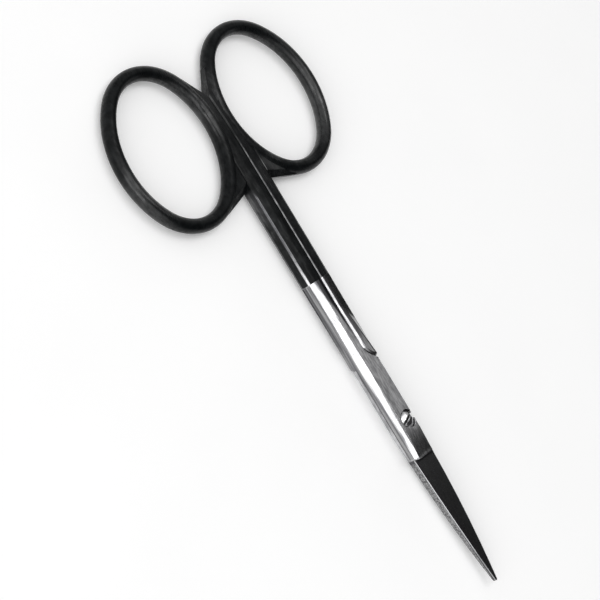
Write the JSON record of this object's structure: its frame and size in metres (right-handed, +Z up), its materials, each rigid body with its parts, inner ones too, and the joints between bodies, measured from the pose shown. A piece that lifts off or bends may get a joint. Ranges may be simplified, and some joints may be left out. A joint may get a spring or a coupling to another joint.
{
  "type": "surgical scissors",
  "caption": "Small straight surgical scissors with oval finger rings, slim shanks, a screwed lap joint and pointed ground blades.",
  "frame": {"origin": "on the pivot axis, in the flat underside of the joint that the scissors rest on", "axes": "+Y from the tips to the finger rings, +Z up along the pivot axis out of the screw head's side, +X across the closed scissors"},
  "size_m": [0.0554, 0.1149, 0.0046],
  "materials": {
    "forged_steel": "polished steel, with a black semi-gloss coat on the rings and the upper part of the shanks",
    "screw_steel": "polished steel"
  },
  "bodies": {
    "lower": {"lower_half": "forged_steel", "pivot_screw": "screw_steel"},
    "upper": {"upper_half": "forged_steel"}
  },
  "joints": [
    {"name": "pivot", "type": "hinge", "parent": "lower", "child": "upper", "pos_m": [0, 0, 0.0023], "axis": [0, 0, 1], "range_deg": [0, 90]}
  ]
}
